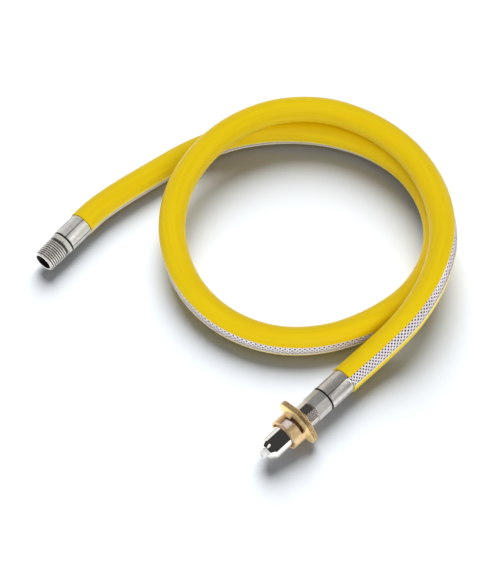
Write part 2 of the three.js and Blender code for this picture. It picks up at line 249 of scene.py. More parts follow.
route = {
    "threadMouth": (-0.0982, 0.1095, 0.0122),
    "threadBearing": 233.9,        # degrees from +X, from the mouth away from the hose
    "threadLead": 0.014,
    "plugMouth": (0.1287, -0.0489, 0.01461),
    "plugBearing": 224.2,
    "plugLead": 0.008,
    "inside": 0.0185,              # reach of the braid and liner into each ferrule
    "points": [
        (-0.0725, 0.1385, 0.0122), (-0.0370, 0.1675, 0.0122), (-0.0005, 0.1945, 0.0122),
        (0.0405, 0.2135, 0.0122), (0.0855, 0.2205, 0.0122), (0.1310, 0.2155, 0.0122),
        (0.1720, 0.1970, 0.0122), (0.2035, 0.1645, 0.0122), (0.2190, 0.1215, 0.0122),
        (0.2150, 0.0765, 0.0122), (0.1930, 0.0370, 0.0122), (0.1575, 0.0085, 0.0122),
        (0.1155, -0.0085, 0.0122), (0.0705, -0.0090, 0.0124), (0.0290, 0.0095, 0.0140),
        (-0.0010, 0.0430, 0.0185), (-0.0150, 0.0860, 0.0250), (-0.0115, 0.1305, 0.0308),
        (0.0080, 0.1715, 0.0344), (0.0400, 0.2040, 0.0364), (0.0810, 0.2230, 0.0368),
        (0.1260, 0.2230, 0.0368), (0.1670, 0.2030, 0.0368), (0.1980, 0.1700, 0.0368),
        (0.2155, 0.1280, 0.0368), (0.2190, 0.0830, 0.0376), (0.2080, 0.0390, 0.0372),
        (0.1845, 0.0015, 0.0298), (0.1555, -0.0250, 0.0183),
    ],
    "spanSamples": 60,             # between two points
    "step": 0.001,                 # between samples, once they are even
    "ease": 12,                    # samples each way that are averaged
    "turnEase": 25,                # the same for the strip's turn
    "declared": 4,                 # samples from one point of the hose to the next
    # where the clear strip faces, in degrees from up towards the left of travel
    "stripTurn": [
        (-0.02, -112), (0.140, -112), (0.175, -115), (0.240, -119), (0.330, -124),
        (0.400, -121), (0.430, -125), (0.545, -279), (0.640, -279), (0.700, -277),
        (0.745, -267), (0.780, -262), (1.090, -262), (1.130, -272), (1.160, -285),
        (1.190, -298), (1.215, -306), (1.240, -310), (1.265, -312), (1.300, -313), (1.3466, -315),
        (1.370, -315),
    ],
}


def bearing(degrees):
    return np.array([math.cos(math.radians(degrees)), math.sin(math.radians(degrees)), 0.0])


def routePoints():
    thread, plug = np.array(route["threadMouth"]), np.array(route["plugMouth"])
    threadWay, plugWay = bearing(route["threadBearing"]), bearing(route["plugBearing"])
    return [
        thread + threadWay * route["inside"], thread, thread - threadWay * route["threadLead"],
        *[np.array(point) for point in route["points"]],
        plug - plugWay * route["plugLead"], plug, plug + plugWay * route["inside"],
    ]


def spanPoints(before, start, end, after, count):
    # a centripetal Catmull-Rom span, without its last point
    gaps = [math.sqrt(np.linalg.norm(b - a)) for a, b in ((before, start), (start, end), (end, after))]
    leave = (start - before) / gaps[0] - (end - before) / (gaps[0] + gaps[1]) + (end - start) / gaps[1]
    arrive = (end - start) / gaps[1] - (after - start) / (gaps[1] + gaps[2]) + (after - end) / gaps[2]
    leave, arrive = leave * gaps[1], arrive * gaps[1]
    t = np.linspace(0, 1, count, endpoint=False)[:, None]
    squared = -3 * start + 3 * end - 2 * leave - arrive
    cubed = 2 * start - 2 * end + leave + arrive
    return start + leave * t + squared * t ** 2 + cubed * t ** 3


def evenly(points, step):
    lengths = np.concatenate([[0], np.cumsum(np.linalg.norm(np.diff(points, axis=0), axis=1))])
    count = int(round(lengths[-1] / step))
    places = np.linspace(0, lengths[-1], count + 1)
    return np.stack([np.interp(places, lengths, points[:, k]) for k in range(3)], axis=1), places


def averaged(values, reach):
    # a moving average that leaves both ends where they are
    result = values.copy()
    for k in range(1, len(values) - 1):
        near = min(reach, k, len(values) - 1 - k)
        result[k] = values[k - near:k + near + 1].mean(axis=0)
    return result


def calmed(line, reach):
    # the second step gives back what the average takes off the bends
    first = averaged(line, reach)
    return first + averaged(line - first, reach)


def sampleRoute():
    points = routePoints()
    ends = [2 * points[0] - points[1], *points, 2 * points[-1] - points[-2]]
    spans = [spanPoints(*ends[k:k + 4], route["spanSamples"]) for k in range(len(points) - 1)]
    fine = np.concatenate([*spans, [points[-1]]])
    line = calmed(evenly(fine, route["step"])[0], route["ease"])
    line, lengths = evenly(line, route["step"])
    stations = lengths - route["inside"]
    along = np.gradient(line, axis=0)
    along /= np.linalg.norm(along, axis=1)[:, None]
    left = np.cross([0.0, 0.0, 1.0], along)
    left /= np.linalg.norm(left, axis=1)[:, None]
    up = np.cross(along, left)
    keys = np.array(route["stripTurn"])
    turn = np.radians(np.interp(stations, keys[:, 0], keys[:, 1])[:, None])
    turn = averaged(averaged(turn, route["turnEase"]), route["turnEase"])
    outward = up * np.cos(turn) + left * np.sin(turn)
    return {"line": line, "stations": stations, "x": outward, "y": np.cross(along, outward)}


routeLine = sampleRoute()
hoseLength = routeLine["stations"][-1] - route["inside"]
print("hose from mouth to mouth: %.4f m" % hoseLength)


def bendAlong(mesh):
    # straight millimetres, with the clear strip on +x, to the place on the route
    flat = np.zeros(len(mesh.vertices) * 3, np.float32)
    mesh.vertices.foreach_get("co", flat)
    points = flat.reshape(-1, 3).astype(float) * millimetre
    at = {name: np.stack([
        np.interp(points[:, 2], routeLine["stations"], routeLine[name][:, k]) for k in range(3)
    ], axis=1) for name in ("line", "x", "y")}
    for name in ("x", "y"):
        at[name] /= np.linalg.norm(at[name], axis=1)[:, None]
    placed = at["line"] + at["x"] * points[:, :1] + at["y"] * points[:, 1:2]
    mesh.vertices.foreach_set("co", placed.astype(np.float32).ravel())
    mesh.update()


# Shared modelling steps

overrun = 1.0                      # how far a cutting shape runs past what it cuts
skin = 0.01                        # keeps two cut faces from falling together
chamferInset = 0.2                 # a bar's chamfer starts this far inside its flats


def fittingPlace(mouth, degrees):
    along = Vector(bearing(degrees))
    up = Vector((0, 0, 1))
    across = along.cross(up)
    turn = Matrix((up, across, along)).transposed().to_4x4()
    return Matrix.Translation(Vector(mouth)) @ turn @ Matrix.Scale(millimetre, 4)


places = {
    "thread": fittingPlace(route["threadMouth"], route["threadBearing"]),
    "plug": fittingPlace(route["plugMouth"], route["plugBearing"]),
}


def spun(profile, steps=96, closed=True):
    # [radius, station] pairs turned about the fitting's axis
    bm = bmesh.new()
    verts = [bm.verts.new((radius, 0, station)) for radius, station in profile]
    nexts = verts[1:] + verts[:1] if closed else verts[1:]
    edges = [bm.edges.new(pair) for pair in zip(verts, nexts)]
    bmesh.ops.spin(bm, geom=verts + edges, cent=(0, 0, 0), axis=(0, 0, 1), dvec=(0, 0, 0),
                   angle=fullTurn, steps=steps, use_merge=True)
    tidyShell(bm)
    return bm


def tidyShell(bm, distance=0.0005):
    bmesh.ops.remove_doubles(bm, verts=bm.verts, dist=distance)
    bmesh.ops.recalc_face_normals(bm, faces=bm.faces)


def tube(inner, outer, start, end, steps=96):
    # solid where the inner radius is 0
    corners = [(inner, start), (outer, start), (outer, end), (inner, end)]
    return spun(corners, steps, closed=inner > 0)


def arc(middle, radius, fromAngle, toAngle, count):
    return [(middle[0] + radius * math.cos(a), middle[1] + radius * math.sin(a))
            for a in np.linspace(fromAngle, toAngle, count)]


def setRadius(vert, radius):
    scale = radius / math.hypot(vert.co.x, vert.co.y)
    vert.co.x *= scale
    vert.co.y *= scale


def prism(corners, start, end):
    # a flat outline raised from one station to another
    bm = bmesh.new()
    base = bm.faces.new([bm.verts.new((x, y, start)) for x, y in corners])
    raised = bmesh.ops.extrude_face_region(bm, geom=[base])["geom"]
    verts = [item for item in raised if isinstance(item, bmesh.types.BMVert)]
    bmesh.ops.translate(bm, verts=verts, vec=(0, 0, end - start))
    bmesh.ops.recalc_face_normals(bm, faces=bm.faces)
    return bm


def ringed(bm, longerThan, rings):
    # cuts the edges that run along the whole hose, so that it can bend
    longEdges = [edge for edge in bm.edges
                 if abs(edge.verts[0].co.z - edge.verts[1].co.z) > longerThan]
    bmesh.ops.subdivide_edges(bm, edges=longEdges, cuts=rings, use_grid_fill=True)
    return bm


def trimmed(bm, axis, limits):
    # keeps what lies between two places along one axis
    for place, way in zip(limits, (-1, 1)):
        bmesh.ops.bisect_plane(bm, geom=[*bm.verts, *bm.edges, *bm.faces], dist=0.001,
                               plane_co=axis * place, plane_no=axis * way, clear_outer=True)
    return bm


def softened(bm, width, segments=2, angle=32):
    edges = [edge for edge in bm.edges
             if edge.is_manifold and edge.calc_face_angle() > math.radians(angle)]
    bmesh.ops.bevel(bm, geom=edges, offset=width, affect="EDGES", segments=segments,
                    profile=0.5, material=-1, clamp_overlap=True)
    return bm


def asObject(name, bm):
    mesh = bpy.data.meshes.new(name)
    bm.to_mesh(mesh)
    made = bpy.data.objects.new(name, mesh)
    bpy.context.scene.collection.objects.link(made)
    return made


def combined(first, second, operation):
    # joins, cuts or keeps what two closed shapes share
    target, tool = asObject("target", first), asObject("tool", second)
    modifier = target.modifiers.new("combine", "BOOLEAN")
    modifier.operation = operation
    modifier.solver = "EXACT"
    modifier.object = tool
    graph = bpy.context.evaluated_depsgraph_get()
    result = bpy.data.meshes.new_from_object(target.evaluated_get(graph))
    first.clear()
    first.from_mesh(result)
    second.free()
    for made in (target, tool):
        mesh = made.data
        bpy.data.objects.remove(made)
        bpy.data.meshes.remove(mesh)
    bpy.data.meshes.remove(result)
    return first


def finishPiece(name, bm, finish, replaced=(), place=None, sharp=32, body="hose"):
    own = bm.verts.layers.float_vector.new("own")
    for vert in bm.verts:
        vert[own] = vert.co
    for edge in bm.edges:
        edge.smooth = edge.is_manifold and edge.calc_face_angle() < math.radians(sharp)
    for face in bm.faces:
        face.smooth = True
    piece = asObject(name, bm)
    bm.free()
    if place is None:
        bendAlong(piece.data)
    else:
        piece.data.transform(places[place])
    piece.data.materials.append(finishes[finish])
    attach(piece, body)
    if replaced:
        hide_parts(*replaced)
    print("piece made:", name, len(piece.data.polygons), "faces")
    return piece


# Cover: one extrusion, yellow with a clear strip let into its wall

cover = {
    "radius": 12.0,
    "wall": 2.4,
    "stripAngle": 44.0,            # degrees of the wall that are clear, outside
    "stripWall": 0.95,
    "rebate": 16.0,                # degrees of the yellow wall thinned on each side of it
    "seam": 0.06,                  # degrees between clear and yellow
    "endGap": 0.15,                # to each ferrule
    "facetAngle": 6.0,
    "ring": 2.4,                   # between rings
    "yellow": paint(241, 207, 10),
    "deep": paint(237, 202, 6),
    "cutFace": paint(246, 240, 222),    # the yellow's faces along the strip
    "paintedHighlight": paint(252, 236, 70),       # a painted highlight: the paler, lit edge on one side of the strip
    "paintedHighlightAngle": 7.0,
    "roughness": 0.4,
    "refraction": 1.32,
}


def yellowCover():
    shader = newShader("yellow_cover")
    own = shader.own()
    drawn = shader.noise(shader.scaled(own, (0.3, 0.3, 0.012)), 1.0, 2.0)     # drawn-out streaks
    peel = shader.noise(own, 0.55, 2.0)
    base = shader.blend(drawn.eased(0.35, 0.7), cover["yellow"], cover["deep"])
    turn = shader.split(own, 1).maths("ARCTAN2", shader.split(own, 0))
    edge = math.radians(cover["stripAngle"] / 2 + cover["seam"])
    paintedHighlightEnd = edge + math.radians(cover["paintedHighlightAngle"])
    # painted highlight: a paler band where one side of the strip's yellow edge catches the light
    paintedHighlight = turn.eased(-paintedHighlightEnd - 0.03, -paintedHighlightEnd + 0.03) * (1 - turn.eased(0.0, 0.1))
    base = shader.blend(paintedHighlight, base, cover["paintedHighlight"])
    fromStrip = turn.maths("ABSOLUTE") - edge
    base = shader.blend(fromStrip.eased(0.001, 0.006), cover["cutFace"], base)
    return shader.coated({
        "Base Color": base,
        "Roughness": cover["roughness"] + 0.08 * drawn,
        "IOR": cover["refraction"],
        "Normal": shader.bump(drawn * 0.5 + peel * 0.5, 0.00003, 0.2),
    })


def clearStrip():
    shader = newShader("clear_strip")
    gloss = shader.node("BsdfPrincipled", None, {
        "Base Color": paint(250, 247, 244),
        "Metallic": 1.0,
        "Roughness": 0.16,
    })
    through = shader.node("BsdfTransparent", None, {"Color": (0.995, 0.985, 0.985, 1)})
    facing = shader.node("Fresnel", None, {"IOR": 1.5})
    share = (facing * 0.12 + 0.005).clamped(0.0, 0.1)
    return shader.finish(shader.node("MixShader", None, {0: share, 1: through, 2: gloss}))


def wallArc(radius, fromDegrees, toDegrees):
    facets = max(2, round(abs(toDegrees - fromDegrees) / cover["facetAngle"]))
    return arc((0, 0), radius, math.radians(fromDegrees), math.radians(toDegrees), facets + 1)


def wallAlong(section):
    start, end = cover["endGap"], hoseLength / millimetre - cover["endGap"]
    return ringed(prism(section, start, end), cover["ring"], int((end - start) / cover["ring"]))


finishes["cover"] = yellowCover()
finishes["clear"] = clearStrip()


def makeCover():
    outside = cover["radius"]
    inside, thinned = outside - cover["wall"], outside - cover["stripWall"]
    half = cover["stripAngle"] / 2
    seam, rebate = half + cover["seam"], half + cover["rebate"]
    rest = (wallArc(outside, seam, 360 - seam) + wallArc(thinned, 360 - seam, 360 - rebate)
            + wallArc(inside, 360 - rebate, rebate) + wallArc(thinned, rebate, seam))
    strip = wallArc(outside, -half, half) + wallArc(thinned, half, -half)
    yellow = finishPiece("cover_yellow", wallAlong(rest), "cover", ["hose_cover"])
    clear = finishPiece("cover_clear_strip", wallAlong(strip), "clear")
    return yellow, clear


coverYellow, coverClear = makeCover()


# Braid: flat carriers of wire that cross over and under, seen through the clear strip

braid = {
    "radius": 10.65,
    "carriers": 18,                # each way round
    "width": 1.27,
    "wires": 3,                    # ridges in a carrier
    "wireHeight": 0.13,
    "lift": 0.2,                   # over and under the middle
    "crossing": 1.6,               # how squarely a carrier steps over the next
    "window": 36.0,                # degrees each side of the strip's middle
    "steps": 16,
    "spare": 1.0,                  # woven past each end of the hose, then trimmed
    "endGap": 0.2,
    # a dark sleeve of painted shade under the carriers
    "sleeveOutside": 8.86,
    "sleeveInside": 8.6,
    "sleeveFacets": 28,
    "sleeveRings": 300,
}


def braidWire():
    shader = newShader("braid_wire")
    own = shader.own()
    tone = shader.noise(own, 0.9, 2.0)
    base = shader.blend(tone.eased(0.3, 0.7), paint(255, 252, 254), paint(248, 240, 246))
    return shader.coated({
        "Base Color": base,
        "Roughness": 0.34 + 0.1 * tone,
    })


def braidShade():
    # painted shade: a dark sleeve under the wires stands for the deep shade between them
    shader = newShader("braid_shade")
    own = shader.own()
    tone = shader.noise(own, 0.6, 2.0)
    base = shader.blend(tone.eased(0.35, 0.65), paint(38, 24, 42), paint(24, 16, 30))
    return shader.coated({
        "Base Color": base,
        "Metallic": 0.3,
        "Roughness": 0.5,
        "Normal": shader.bump(tone, 0.0002, 0.4),
    })


finishes["wire"] = braidWire()
finishes["shade"] = braidShade()


def carrier(tile, side, turnOver):
    # one flat carrier at 45 degrees across the window, in the straight frame laid flat:
    # x round the hose, y along it, z outwards
    reach = math.radians(braid["window"]) * braid["radius"]
    length = 2 * reach * math.sqrt(2) + braid["width"]
    across = 2 * braid["wires"]
    made = bmesh.ops.create_grid(tile, x_segments=braid["steps"], y_segments=across, size=0.5)
    pitch = fullTurn * braid["radius"] / braid["carriers"] / math.sqrt(2)
    for vert in made["verts"]:
        u, v = vert.co.x * length, vert.co.y
        wave = math.cos(math.pi * u / pitch + turnOver * math.pi)
        lift = braid["lift"] * max(-1, min(1, braid["crossing"] * wave))
        column = round((v + 0.5) * across)
        ridge = braid["wireHeight"] * (column % 2)
        vert.co = Vector((u, v * braid["width"], lift + ridge))
    turn = Matrix.Rotation(side * math.pi / 4, 4, "Z")
    bmesh.ops.transform(tile, matrix=turn, verts=made["verts"])
    return made["verts"]


def weaveTile(repeat):
    tile = bmesh.new()
    for index in range(2):
        for side in (1, -1):
            verts = carrier(tile, side, index + (side > 0))
            bmesh.ops.translate(tile, verts=verts, vec=(0, index * repeat / 2, 0))
    reach = math.radians(braid["window"]) * braid["radius"]
    return trimmed(tile, Vector((1, 0, 0)), (-reach, reach))


def makeBraid():
    inside = route["inside"] / millimetre
    total = hoseLength / millimetre
    woven = total + 2 * braid["spare"]
    count = round(woven / (2 * fullTurn * braid["radius"] / braid["carriers"]))
    repeat = woven / count
    tile = weaveTile(repeat)
    mesh = bpy.data.meshes.new("tile")
    tile.to_mesh(mesh)
    tile.free()
    bm = bmesh.new()
    for index in range(count):
        before = len(bm.verts)
        bm.from_mesh(mesh)
        bm.verts.ensure_lookup_table()
        place = (index + 0.25) * repeat - braid["spare"]
        bmesh.ops.translate(bm, verts=bm.verts[before:], vec=(0, place, 0))
    bpy.data.meshes.remove(mesh)
    trimmed(bm, Vector((0, 1, 0)), (braid["endGap"], total - braid["endGap"]))
    for vert in bm.verts:
        angle, radius = vert.co.x / braid["radius"], braid["radius"] + vert.co.z
        vert.co = Vector((radius * math.cos(angle), radius * math.sin(angle), vert.co.y))
    wires = finishPiece("braid_wires", bm, "wire", ["wire_braid"], sharp=80)
    sleeve = tube(braid["sleeveInside"], braid["sleeveOutside"], -inside, total + inside,
                  braid["sleeveFacets"])
    ringed(sleeve, total, braid["sleeveRings"])
    shade = finishPiece("braid_shade_sleeve", sleeve, "shade")
    return wires, shade


braidWires, braidShadeSleeve = makeBraid()


# Liner: a corrugated metal tube inside the braid

liner = {
    "outside": 8.3, "wall": 0.3, "depth": 1.7, "pitch": 3.1, "facets": 18,
    "crest": (0.3, 0.7),           # shares of a fold
    "insideRings": 300,
}


def makeLiner():
    inside = route["inside"] / millimetre
    start, end = -inside, hoseLength / millimetre + inside
    count = int((end - start) / liner["pitch"])
    pitch = (end - start) / count
    crest, root = liner["outside"], liner["outside"] - liner["depth"]
    outer = []
    for fold in range(count):
        place = start + fold * pitch
        outer += [(root, place), *[(crest, place + pitch * share) for share in liner["crest"]]]
    outer.append((root, end))
    inner = [(root - liner["wall"], end), (root - liner["wall"], start)]
    bm = ringed(spun(outer + inner, liner["facets"]), 2 * pitch, liner["insideRings"])
    return finishPiece("liner_corrugated", bm, "liner", ["corrugated_liner"])


linerTube = makeLiner()


# Ferrules: sleeves crimped between six dies

ferrule = {
    "length": 24.0,
    "radius": 11.0,
    "inside": 9.6,
    "lip": 1.5,
    "lipBore": 7.6,
    "dies": 6,
    "flatness": 0.22,
    "ridge": 0.2,
    "ridgeHalfAngle": 2.5,
    "margin": 1.6,
    "fade": 1.1,
    "edge": 0.45,
    "edgeKnee": 0.3,               # share of the edge at the middle of its curve
    "steps": 288,
    # the painted shadow round the rim, and the colour of it and of the painted shade along the ridges
    "paintedShadowRim": 0.4,
    "line": paint(42, 38, 36),
}
ferruleMetals = {
    # ridgeAt is one ridge, and the line half-angle is that of the painted shade line along each, in
    # degrees round the axis
    "thread": {
        "name": "thread_end_steel", "bright": paint(224, 222, 217), "dull": paint(210, 207, 203),
        "roughness": 0.28, "lines": 0.8, "metallic": 0.42, "ridgeAt": -20.5, "shadeLineHalfAngle": 2.6,
    },
    "plug": {
        "name": "plug_end_steel", "bright": paint(216, 210, 205), "dull": paint(201, 196, 190),
        "roughness": 0.26, "lines": 0.6, "metallic": 0.7, "ridgeAt": -17.0, "shadeLineHalfAngle": 1.6,
    },
}


def paintedCrimpShade(shader, own, base, metal):
    # painted shade: a dark line along each crimp ridge, and painted shadow round the rim towards the
    # fitting
    x, y, z = shader.axes(own)
    turn = y.maths("ARCTAN2", x) / fullTurn - metal["ridgeAt"] / 360
    share = (turn * ferrule["dies"]).maths("FRACT")
    fromRidge = (0.5 - (share - 0.5).maths("ABSOLUTE")) * (360 / ferrule["dies"])
    steel = fromRidge.eased(metal["shadeLineHalfAngle"] * 0.6, metal["shadeLineHalfAngle"])
    rim = ferrule["length"] - ferrule["paintedShadowRim"]
    steel = steel * (1 - z.eased(rim - 0.2, rim))
    return shader.blend(steel, ferrule["line"], base)


def ferruleOutline():
    radius, length, edge = ferrule["radius"], ferrule["length"], ferrule["edge"]
    margin, fade, knee = ferrule["margin"], ferrule["fade"], ferrule["edge"] * ferrule["edgeKnee"]
    rows = [margin, margin + fade / 2, margin + fade, length / 2,
            length - margin - fade, length - margin - fade / 2, length - margin]
    return [
        (ferrule["inside"], 0), (radius - edge, 0), (radius - knee, knee), (radius, edge),
        *[(radius, row) for row in rows],
        (radius, length - edge), (radius - knee, length - knee), (radius - edge, length),
        (ferrule["lipBore"], length), (ferrule["lipBore"], length - ferrule["lip"]),
        (ferrule["inside"], length - ferrule["lip"]),
    ]


def crimp(bm, ridgeAt):
    step = fullTurn / ferrule["dies"]
    ridgeHalf = math.radians(ferrule["ridgeHalfAngle"])
    for vert in bm.verts:
        radius = math.hypot(vert.co.x, vert.co.y)
        if radius < ferrule["radius"] - 0.02:
            continue
        near = min(vert.co.z, ferrule["length"] - vert.co.z) - ferrule["margin"]
        share = max(0.0, min(1.0, near / ferrule["fade"]))
        angle = math.atan2(vert.co.y, vert.co.x) - math.radians(ridgeAt)
        fromRidge = abs((angle + step / 2) % step - step / 2)
        fromMiddle = step / 2 - fromRidge
        rise = radius * ferrule["flatness"] * (fromMiddle ** 2 - (step / 4) ** 2) / 2
        rise += ferrule["ridge"] * max(0.0, 1 - (fromRidge / ridgeHalf) ** 2)
        setRadius(vert, radius + rise * share)


def makeFerrule(end):
    bm = spun(ferruleOutline(), ferrule["steps"])
    crimp(bm, ferruleMetals[end]["ridgeAt"])
    finishes[end + "Crimped"] = turnedMetal(ferruleMetals[end], paintedCrimpShade)
    finishPiece(end + "_ferrule_crimped", bm, end + "Crimped", [end + "_ferrule"],
                end, sharp=24)


for end in ferruleMetals:
    makeFerrule(end)


# Parts of both fittings that sit inside a ferrule

stem = {
    "start": 1.5, "radius": 5.69, "bore": 4.5, "lead": 0.6, "leadLength": 1.5,
    "shoulderStart": 20.1, "shoulderEnd": 22.2, "shoulder": 9.3, "groove": 7.3,
}


def stemOutline():
    return [
        (stem["bore"], stem["start"]), (stem["radius"] - stem["lead"], stem["start"]),
        (stem["radius"], stem["start"] + stem["leadLength"]), (stem["radius"], stem["shoulderStart"]),
        (stem["shoulder"], stem["shoulderStart"]), (stem["shoulder"], stem["shoulderEnd"]),
        (stem["groove"], stem["shoulderEnd"]),
    ]


def flatSided(sides, flats, start, end, turn, chamfer, hole, rounding):
    # a bar with flats, its corners turned off at both ends
    corner = flats / 2 / math.cos(math.pi / sides)
    angles = [math.radians(turn) + fullTurn * k / sides for k in range(sides)]
    bar = prism([(corner * math.cos(a), corner * math.sin(a)) for a in angles], start, end)
    face, slope = flats / 2 - chamferInset, corner + 5 * skin
    blank = spun([(hole, start - skin), (face, start - skin), (slope, start + chamfer),
                  (slope, end - chamfer), (face, end + skin), (hole, end + skin)], 144)
    bar = combined(bar, blank, "INTERSECT")
    tidyShell(bar, 0.002)
    return softened(bar, rounding, 2, 18)


# Threaded nipple: a half-inch taper thread, cut as a true helix

nipple = {
    "hexFlats": 21.0, "hexStart": 24.9, "hexLength": 4.6, "hexTurn": 27.0, "hexChamfer": 0.8,
    "hexRounding": 0.12, "hexOverlap": 0.5, "coreInset": 1.0,
    "end": 51.0,
    "threadRadius": 10.48,         # crest at the gauge plane
    "gauge": 8.2,                  # gauge plane behind the tip
    "taper": 1 / 32,
    "pitch": 2.1,
    "depth": 1.05,
    "roundness": 0.55,             # 0 is straight flanks, 1 a plain wave
    "relief": 1.4, "reliefRadius": 9.3, "runOut": 0.8,
    "tipChamfer": 1.0,
    "mouth": 7.4, "mouthDepth": 16.0, "mouthChamfer": 0.5,
    "turnSteps": 60,
    "waveRows": 10,
    "bright": paint(252, 248, 242),
    "dull": paint(240, 236, 229),
    # painted shade in the thread's roots
    "root": paint(92, 85, 80),
    "tipTone": paint(246, 243, 238),
    "tipFace": 0.7,
    # painted shade inside the bore
    "paintedBoreShade": paint(24, 22, 22),
    "metallic": 0.4,
}


def threadNickel():
    # bright crests, roots darkened by painted shade, a pale tip, and painted shade in the bore behind
    # the mouth
    shader = newShader("thread_nickel")
    own = shader.own()
    x, y, z = shader.axes(own)
    radius = (x * x + y * y).maths("SQRT")
    cloud = shader.noise(own, 0.5, 2.0)
    gaugeAt = nipple["end"] - nipple["gauge"]
    crest = (nipple["threadRadius"] + gaugeAt * nipple["taper"]) - z * nipple["taper"]
    raised = (radius - crest).eased(-0.85, -0.2)
    outside = radius.eased(nipple["mouth"] + 0.1, nipple["mouth"] + 0.4)
    metal = shader.blend(cloud.eased(0.3, 0.75), nipple["bright"], nipple["dull"])
    tipAt = nipple["end"] - nipple["tipFace"]
    # painted shade darkens the roots
    base = shader.blend(raised, nipple["root"], metal)
    base = shader.blend(z.eased(tipAt - 0.3, tipAt), base, nipple["tipTone"])
    # painted shade fills the bore behind the mouth
    base = shader.blend(outside, nipple["paintedBoreShade"], base)
    return shader.coated({
        "Base Color": base,
        "Metallic": nipple["metallic"],
        "Roughness": 0.3 - 0.1 * raised + 0.06 * cloud,
    })


finishes["thread"] = threadNickel()


def threadWave(share):
    # rounded crests and roots with straighter flanks between, from 0 to 1
    flank = 1 - abs(2 * share - 1)
    wave = 0.5 - math.cos(math.pi * flank) / 2
    return nipple["roundness"] * wave + (1 - nipple["roundness"]) * flank


def threadShell():
    start = nipple["hexStart"] + nipple["hexLength"] + nipple["relief"]
    rows, pitch, crest = nipple["waveRows"], nipple["pitch"], nipple["threadRadius"]
    turns = math.ceil((nipple["end"] - start) / pitch) + 3
    bm = bmesh.new()
    first = start - 1.5 * pitch
    profile = [(crest - nipple["depth"] * (1 - threadWave(k / rows)), first + pitch * k / rows)
               for k in range(rows + 1)]
    verts = [bm.verts.new((radius, 0, station)) for radius, station in profile]
    edges = [bm.edges.new(pair) for pair in zip(verts, verts[1:])]
    advance = pitch / nipple["turnSteps"]
    bmesh.ops.spin(bm, geom=verts + edges, cent=(0, 0, 0), axis=(0, 0, 1), dvec=(0, 0, advance),
                   angle=fullTurn * turns, steps=nipple["turnSteps"] * turns, use_merge=False)
    bmesh.ops.remove_doubles(bm, verts=bm.verts, dist=0.002)
    gauge = nipple["end"] - nipple["gauge"]
    for vert in bm.verts:
        radius = math.hypot(vert.co.x, vert.co.y)
        shaped = radius - (vert.co.z - gauge) * nipple["taper"]
        tip = crest - nipple["gauge"] * nipple["taper"] - nipple["tipChamfer"]
        shaped = min(shaped, tip + max(0.0, nipple["end"] - vert.co.z))
        runOut = nipple["reliefRadius"] + max(0.0, vert.co.z - start) * nipple["runOut"]
        setRadius(vert, min(shaped, runOut))
    return trimmed(bm, Vector((0, 0, 1)), (start, nipple["end"])), start


def openRim(bm, station):
    return [edge for edge in bm.edges if edge.is_boundary
            and all(abs(vert.co.z - station) < 0.01 for vert in edge.verts)]


def drawRim(bm, rim, radius, station):
    # carries an open rim on to a new radius and station
    made = bmesh.ops.extrude_edge_only(bm, edges=rim)["geom"]
    verts = {item for item in made if isinstance(item, bmesh.types.BMVert)}
    for vert in verts:
        setRadius(vert, radius)
        vert.co.z = station
    return [item for item in made if isinstance(item, bmesh.types.BMEdge)
            and item.verts[0] in verts and item.verts[1] in verts]


def makeNipple():
    bm, start = threadShell()
    end, mouth, depth = nipple["end"], nipple["mouth"], nipple["mouthDepth"]
    rim = openRim(bm, end)
    for radius, station in [
        (mouth + nipple["mouthChamfer"], end), (mouth, end - nipple["mouthChamfer"]),
        (mouth, end - depth), (stem["bore"], end - depth - (mouth - stem["bore"])),
    ] + stemOutline():
        rim = drawRim(bm, rim, radius, station)
    hexStart = nipple["hexStart"]
    coreStart = hexStart + nipple["coreInset"]
    for radius, station in [(stem["groove"], coreStart), (nipple["reliefRadius"], coreStart + 0.001)]:
        rim = drawRim(bm, rim, radius, station)
    bmesh.ops.bridge_loops(bm, edges=rim + openRim(bm, start))
    tidyShell(bm, 0.001)
    finishPiece("threaded_nipple_turned", bm, "thread", ["threaded_nipple"], "thread",
                sharp=50)
    bar = flatSided(6, nipple["hexFlats"], hexStart, hexStart + nipple["hexLength"],
                    nipple["hexTurn"], nipple["hexChamfer"], stem["groove"] - nipple["hexOverlap"],
                    nipple["hexRounding"])
    finishPiece("threaded_nipple_hexagon", bar, "pale", (), "thread", sharp=10)


makeNipple()


# Plug tail: an octagon bar in two steps, and the spigot that the ring turns on

tail = {
    "sides": 8, "turn": -18.2, "rounding": 0.1,
    "collarStart": 24.3, "collarEnd": 38.5, "collarFlats": 19.4, "collarChamfer": 0.5,
    "wrenchStart": 38.9, "wrenchEnd": 48.3, "wrenchFlats": 18.4, "wrenchChamfer": 0.8,
    "coreRadius": 8.8, "coreInset": 0.5, "coreRounding": 0.25,
    "spigotRadius": 8.0, "spigotEnd": 62.5, "barOverlap": 1.0,
}


def makeTail():
    coreStart, coreEnd = tail["collarStart"] + tail["coreInset"], tail["wrenchEnd"] - tail["coreInset"]
    outline = stemOutline() + [
        (stem["groove"], coreStart), (tail["coreRadius"], coreStart),
        (tail["coreRadius"], coreEnd), (tail["spigotRadius"], coreEnd),
        (tail["spigotRadius"], tail["spigotEnd"]), (stem["bore"], tail["spigotEnd"]),
    ]
    turned = softened(spun(outline, 128), tail["coreRounding"], 3)
    finishPiece("plug_tail_turned", turned, "nickel", ["plug_tail"], "plug")
    for part, finish in (("collar", "satin"), ("wrench", "nickel")):
        bar = flatSided(tail["sides"], tail[part + "Flats"], tail[part + "Start"], tail[part + "End"],
                        tail["turn"], tail[part + "Chamfer"],
                        tail["spigotRadius"] - tail["barOverlap"], tail["rounding"])
        finishPiece("plug_tail_" + part, bar, finish, (), "plug", sharp=10)


makeTail()


# Thrust washer between the tail's bar and the ring

washer = {"start": 48.6, "length": 1.0, "radius": 9.0, "hole": 8.3, "rounding": 0.15}


def makeWasher():
    start = washer["start"]
    bm = tube(washer["hole"], washer["radius"], start, start + washer["length"])
    finishPiece("thrust_washer_disc", softened(bm, washer["rounding"]), "white",
                ["thrust_washer"], "plug")


makeWasher()


# Bayonet ring: a winged flange and a slotted barrel, turning on the spigot

